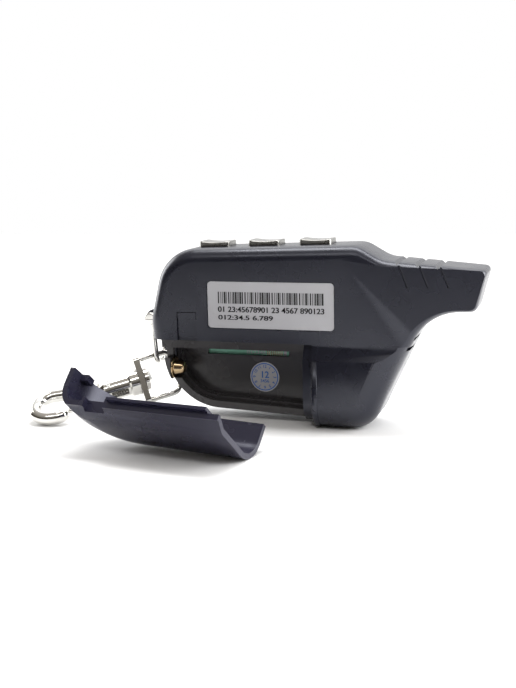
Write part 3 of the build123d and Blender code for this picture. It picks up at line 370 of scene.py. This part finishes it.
def round_edges(node, width, material, angle=EDGE_ANGLE):
    """Stand a copy with rounded edges in a CAD node's place."""
    bm = bmesh.new()
    bm.from_mesh(frame["nodes"][node].data)
    bmesh.ops.remove_doubles(bm, verts=bm.verts, dist=MERGE_DISTANCE)
    bmesh.ops.dissolve_limit(
        bm, angle_limit=math.radians(FLAT_ANGLE), verts=bm.verts, edges=bm.edges)
    for face in bm.faces:
        face.smooth = True
    for edge in bm.edges:
        edge.smooth = edge.calc_face_angle(math.pi) < math.radians(angle)
    piece = add_piece(node + "_finished", bm, BODY_OF[node], material)
    if width:
        rounding = piece.modifiers.new("rounded edges", "BEVEL")
        rounding.width = width
        rounding.segments = EDGE_SEGMENTS
        rounding.limit_method = "ANGLE"
        rounding.angle_limit = math.radians(angle)
        rounding.harden_normals = True
    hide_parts(node)


def add_bar(bm, low, high):
    """Box between two corners."""
    made = bmesh.ops.create_cube(bm, size=1.0)["verts"]
    bmesh.ops.scale(bm, vec=high - low, verts=made)
    bmesh.ops.translate(bm, vec=(low + high) / 2, verts=made)


def add_digits(bm, text, height, place, thick, weight=DIGIT_WEIGHT, turn=0.0, width=0.0):
    """Raised plain digits that face the rear, centred on a place and turned in their plane."""
    curve = bpy.data.curves.new("digits", "FONT")
    curve.body = text
    curve.size = height
    curve.extrude = thick / 2
    curve.align_x = "CENTER"
    curve.align_y = "CENTER"
    curve.offset = weight * height
    maker = bpy.data.objects.new("digits", curve)
    bpy.context.scene.collection.objects.link(maker)
    bpy.context.view_layer.update()
    mesh = bpy.data.meshes.new_from_object(maker)
    if width:
        mesh.transform(Matrix.Scale(width / maker.dimensions.x, 4, (1, 0, 0)))
    upright = Matrix.Rotation(math.pi / 2, 4, "X")
    mesh.transform(Matrix.Translation(place) @ Matrix.Rotation(turn, 4, "Y") @ upright)
    bm.from_mesh(mesh)
    bpy.data.objects.remove(maker)
    bpy.data.curves.remove(curve)
    bpy.data.meshes.remove(mesh)


def add_ring(bm, centre, inner, outer, thick):
    """Flat ring that faces the rear: a strip turned about the depth axis."""
    corners = ((inner, 0), (outer, 0), (outer, thick), (inner, thick))
    verts = [bm.verts.new(centre + Vector((x, y, 0))) for x, y in corners]
    edges = [bm.edges.new((verts[i], verts[(i + 1) % 4])) for i in range(4)]
    bmesh.ops.spin(
        bm, geom=verts + edges, cent=centre, axis=(0, 1, 0), angle=2 * math.pi,
        steps=RING_STEPS, use_merge=True)


class REMOTE_OT_studio(bpy.types.Operator):
    """Pale floor, soft light and the camera"""

    bl_idname = "remote.studio"
    bl_label = "Studio"

    def execute(self, context):
        scene = context.scene
        self.add_floor(scene)
        self.light_room(scene)
        for light in LIGHTS:
            self.add_softbox(scene, *light)
        self.add_camera(scene)
        scene.view_settings.view_transform = "Standard"
        return {"FINISHED"}

    def add_floor(self, scene):
        bm = bmesh.new()
        bmesh.ops.create_grid(bm, x_segments=2, y_segments=2, size=sizes().floor_width / 2)
        mesh = bpy.data.meshes.new("floor")
        bm.to_mesh(mesh)
        bm.free()
        floor = bpy.data.objects.new("floor", mesh)
        scene.collection.objects.link(floor)
        mesh.materials.append(finish("studio_floor", (0.90, 0.90, 0.90), (0.6, 0.7), drift=0.01))

    def light_room(self, scene):
        """Let the camera see white and the pieces reflect a room with a dark front."""
        world = scene.world or bpy.data.worlds.new("studio")
        scene.world = world
        world.use_nodes = True
        nodes, links = world.node_tree.nodes, world.node_tree.links
        where = nodes.new("ShaderNodeTexCoord").outputs["Generated"]

        side = nodes.new("ShaderNodeVectorMath")
        side.operation = "DOT_PRODUCT"
        side.inputs[1].default_value = ROOM_BACK
        links.new(where, side.inputs[0])
        room = nodes.new("ShaderNodeMapRange")
        room.interpolation_type = "SMOOTHSTEP"
        room.inputs["From Min"].default_value = ROOM_FADE[0]
        room.inputs["From Max"].default_value = ROOM_FADE[1]
        links.new(side.outputs["Value"], room.inputs["Value"])

        split = nodes.new("ShaderNodeSeparateXYZ")
        links.new(where, split.inputs["Vector"])
        rise = nodes.new("ShaderNodeMapRange")
        rise.inputs["From Min"].default_value = FRONT_RISE[0]
        rise.inputs["From Max"].default_value = FRONT_RISE[1]
        links.new(split.outputs["Z"], rise.inputs["Value"])

        front = self.blend(nodes, links, rise.outputs["Result"], FRONT_FOOT, FRONT_HEAD)
        walls = self.blend(nodes, links, room.outputs["Result"], front, WHITE)
        seen = nodes.new("ShaderNodeLightPath").outputs["Is Camera Ray"]
        sky = nodes["Background"]
        links.new(self.blend(nodes, links, seen, walls, WHITE), sky.inputs["Color"])
        sky.inputs["Strength"].default_value = 1.0

    def blend(self, nodes, links, share, near, far):
        """Mix two colours, each a plain colour or a socket, by a share."""
        mix = nodes.new("ShaderNodeMix")
        mix.data_type = "RGBA"
        links.new(share, mix.inputs["Factor"])
        for socket, colour in (("A", near), ("B", far)):
            if isinstance(colour, tuple):
                mix.inputs[socket].default_value = (*colour, 1)
            else:
                links.new(colour, mix.inputs[socket])
        return mix.outputs["Result"]

    def add_softbox(self, scene, name, place, target, width, height, power):
        light = bpy.data.lights.new(name, "AREA")
        light.shape = "RECTANGLE"
        light.size = width
        light.size_y = height
        light.energy = power
        lamp = bpy.data.objects.new(name, light)
        scene.collection.objects.link(lamp)
        lamp.location = place
        lamp.rotation_euler = (Vector(target) - Vector(place)).to_track_quat("-Z", "Y").to_euler()

    def add_camera(self, scene):
        lens = bpy.data.cameras.new("camera")
        lens.lens = CAMERA_LENS
        lens.sensor_width = CAMERA_SENSOR
        lens.sensor_fit = "AUTO"
        lens.clip_start = 0.01
        camera = bpy.data.objects.new("camera", lens)
        scene.collection.objects.link(camera)
        turn, tilt, roll = map(math.radians, (CAMERA_TURN, CAMERA_TILT, CAMERA_ROLL))
        right = Vector((math.cos(turn), math.sin(turn), 0))
        ahead = Vector((
            -math.sin(turn) * math.cos(tilt), math.cos(turn) * math.cos(tilt), -math.sin(tilt)))
        up = right.cross(ahead)
        rolled_right = right * math.cos(roll) + up * math.sin(roll)
        rolled_up = up * math.cos(roll) - right * math.sin(roll)
        stand = Matrix((rolled_right, rolled_up, -ahead)).transposed().to_4x4()
        camera.matrix_world = Matrix.Translation(CAMERA_PLACE) @ stand
        scene.camera = camera


class REMOTE_OT_case(bpy.types.Operator):
    """Both shells of the case with rounded moulded edges"""

    bl_idname = "remote.case"
    bl_label = "Case shells"

    def execute(self, context):
        for node in ("rear_shell", "front_shell"):
            round_edges(node, sizes().shell_edge, case_plastic())
        return {"FINISHED"}


class REMOTE_OT_lip(bpy.types.Operator):
    """Raised lip round the left end of the fixed battery housing"""

    bl_idname = "remote.lip"
    bl_label = "Housing lip"

    def execute(self, context):
        path = [(HUMP_FACE, LIP_TOP, 0.0)]
        for step in range(LIP_STEPS + 1):
            turn = math.radians(LIP_SWEEP * step / LIP_STEPS)
            y = HUMP_FACE + HUMP_ROUND * (1 - math.cos(turn))
            z = HUMP_ROUND * (1 - math.sin(turn))
            path.append((y, z, turn))
        bm = bmesh.new()
        rings = [self.add_section(bm, *point) for point in path]
        for ring, following in zip(rings, rings[1:]):
            for k in range(LIP_FACETS + 1):
                after = (k + 1) % (LIP_FACETS + 1)
                bm.faces.new((ring[k], ring[after], following[after], following[k]))
        bm.faces.new(rings[0])
        bm.faces.new(rings[-1])
        bmesh.ops.recalc_face_normals(bm, faces=bm.faces)
        for face in bm.faces:
            face.smooth = len(face.verts) == 4
        add_piece("housing_lip", bm, "case", case_plastic())
        return {"FINISHED"}

    def add_section(self, bm, y, z, turn):
        """Half oval across the lip, whose two ends are sunk into the housing."""
        ring = []
        for step in range(LIP_FACETS + 1):
            swing = math.pi * step / LIP_FACETS
            out = LIP_HEIGHT * math.sin(swing)
            if step in (0, LIP_FACETS):
                out -= LIP_SUNK
            x = LIP_LEFT + LIP_WIDTH / 2 * (1 - math.cos(swing))
            ring.append(bm.verts.new(spot(x, y - out * math.cos(turn), z - out * math.sin(turn))))
        return ring


class REMOTE_OT_cover(bpy.types.Operator):
    """Battery cover and its latch"""

    bl_idname = "remote.cover"
    bl_label = "Battery cover"

    def execute(self, context):
        round_edges("battery_cover", sizes().shell_edge, cover_plastic())
        round_edges("cover_latch", sizes().shell_edge / 2, case_plastic())
        return {"FINISHED"}


class REMOTE_OT_bay(bpy.types.Operator):
    """Battery frame and its contacts"""

    bl_idname = "remote.bay"
    bl_label = "Battery bay"

    def execute(self, context):
        round_edges("battery_frame", sizes().shell_edge, frame_plastic())
        round_edges("positive_contact", sizes().wire_edge, contact_gold())
        round_edges("negative_contact", LEAF_EDGE, spring_metal())
        return {"FINISHED"}


class REMOTE_OT_board(bpy.types.Operator):
    """Circuit board with what it carries, and the print on its rear face"""

    bl_idname = "remote.board"
    bl_label = "Circuit board"

    def execute(self, context):
        keep_solid("circuit_board", board_mask())
        keep_solid("board_screws", spring_metal())
        keep_solid("tact_switches", frame_plastic())
        keep_solid("buzzer", frame_plastic())
        keep_solid("antenna_coil", contact_gold())
        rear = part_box("circuit_board")[0].y
        bm = bmesh.new()
        for number in range(PAD_COUNT):
            left = PAD_FIRST + PAD_PITCH * number
            self.add_patch(bm, left, left + PAD_WIDTH, rear)
        add_piece("board_pads", bm, "case", contact_gold())
        bm = bmesh.new()
        add_digits(
            bm, BOARD_TEXT, BOARD_TEXT_METRES, on_face(*BOARD_TEXT_PLACE, rear - PROUD_METRES / 2),
            PROUD_METRES, weight=DIGIT_BOLD, width=BOARD_TEXT_WIDTH * MM)
        self.add_patch(bm, BLOCK_LEFT, BLOCK_RIGHT, rear)
        add_piece("board_print", bm, "case", white_film())
        return {"FINISHED"}

    def add_patch(self, bm, left, right, rear):
        """Thin bar on the board's rear face, as high as the window onto it."""
        low = on_face(left, BOARD_FOOT, rear - PROUD_METRES)
        high = on_face(right, BOARD_HEAD, rear + SUNK_METRES)
        add_bar(bm, low, high)


class REMOTE_OT_display(bpy.types.Operator):
    """Display module, its holder and the lens"""

    bl_idname = "remote.display"
    bl_label = "Display"

    def execute(self, context):
        keep_solid("lcd_module", display_panel())
        keep_solid("lcd_holder", holder_plastic())
        keep_solid("display_lens", clear_lens())
        return {"FINISHED"}


class REMOTE_OT_buttons(bpy.types.Operator):
    """The three plated buttons"""

    bl_idname = "remote.buttons"
    bl_label = "Buttons"

    def execute(self, context):
        for node in ("button_left", "button_middle", "button_right"):
            round_edges(node, BUTTON_EDGE, button_metal())
        return {"FINISHED"}


class REMOTE_OT_labels(bpy.types.Operator):
    """Label with bars and plain digits, and the round sticker with a ring of numbers"""

    bl_idname = "remote.labels"
    bl_label = "Label and sticker"

    def execute(self, context):
        keep_solid("label_sticker", white_film())
        keep_solid("inspection_sticker", white_film())
        self.print_label(sizes().print_height)
        self.print_sticker(sizes().print_height)
        return {"FINISHED"}

    def print_label(self, height):
        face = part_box("label_sticker")[0].y
        bm = bmesh.new()
        x, number = BARS_LEFT, 0
        while x < BARS_LAST:
            wide = BAR_STEPS[number % len(BAR_STEPS)] * BAR_STEP
            low = on_face(x, BARS_FOOT, face - height)
            high = on_face(min(x + wide, BARS_RIGHT), BARS_HEAD, face + height)
            add_bar(bm, low, high)
            x += wide + BAR_STEPS[(number * 5 + 3) % len(BAR_STEPS)] * BAR_STEP * BAR_SPACE
            number += 1
        for text, size, left, right, z in LABEL_ROWS:
            for shift in ROW_SHIFTS:
                place = on_face((left + right) / 2 + shift, z, face)
                add_digits(bm, text, size, place, 2 * height, width=(right - left) * MM)
        add_piece("label_print", bm, "case", print_ink())

    def print_sticker(self, height):
        low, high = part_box("inspection_sticker")
        centre = (low + high) / 2
        centre.y = low.y - height
        bm = bmesh.new()
        add_ring(bm, centre, RING_INNER, RING_OUTER, 2 * height)
        for hour in range(1, 13):
            turn = math.radians(30 * hour)
            place = centre + Vector((math.sin(turn), 0, math.cos(turn))) * HOUR_RADIUS
            add_digits(bm, str(hour), HOUR_HEIGHT, place, 2 * height, turn=turn)
        for text, size, rise, weight in MIDDLE_ROWS:
            add_digits(bm, text, size, centre + Vector((0, 0, rise)), 2 * height, weight=weight)
        bmesh.ops.recalc_face_normals(bm, faces=bm.faces)
        add_piece("sticker_print", bm, "case", blue_ink())


class REMOTE_OT_clip(bpy.types.Operator):
    """Key pin, shackle, swivel frame and hook with its gate"""

    bl_idname = "remote.clip"
    bl_label = "Key clip"

    def execute(self, context):
        for node in ("key_pin", "shackle", "swivel_frame", "hook", "hook_gate", "gate_rivet"):
            round_edges(node, sizes().wire_edge / 2, plated_metal(), angle=WIRE_ANGLE)
        round_edges("gate_spring", 0.0, spring_metal())
        return {"FINISHED"}


class REMOTE_PT_panel(bpy.types.Panel):
    """Lists what makes up the finish"""

    bl_idname = "REMOTE_PT_panel"
    bl_label = "Car alarm remote"
    bl_space_type = "VIEW_3D"
    bl_region_type = "UI"
    bl_category = "Remote"

    def draw(self, context):
        for name in STEPS:
            self.layout.operator("remote." + name)
        for group in (context.scene.remote_sizes, context.scene.remote_colours):
            for value in group.bl_rna.properties:
                if value.identifier not in ("rna_type", "name"):
                    self.layout.prop(group, value.identifier)


STEPS = ("studio", "case", "lip", "cover", "bay", "board", "display", "buttons", "labels", "clip")
CLASSES = (
    RemoteSizes,
    RemoteColours,
    REMOTE_OT_studio,
    REMOTE_OT_case,
    REMOTE_OT_lip,
    REMOTE_OT_cover,
    REMOTE_OT_bay,
    REMOTE_OT_board,
    REMOTE_OT_display,
    REMOTE_OT_buttons,
    REMOTE_OT_labels,
    REMOTE_OT_clip,
    REMOTE_PT_panel,
)


def register():
    for kind in CLASSES:
        bpy.utils.register_class(kind)
    bpy.types.Scene.remote_sizes = bpy.props.PointerProperty(type=RemoteSizes)
    bpy.types.Scene.remote_colours = bpy.props.PointerProperty(type=RemoteColours)


def unregister():
    del bpy.types.Scene.remote_colours
    del bpy.types.Scene.remote_sizes
    for kind in reversed(CLASSES):
        bpy.utils.unregister_class(kind)


def main():
    register()
    for name in STEPS:
        getattr(bpy.ops.remote, name)()


if __name__ == "__main__":
    main()
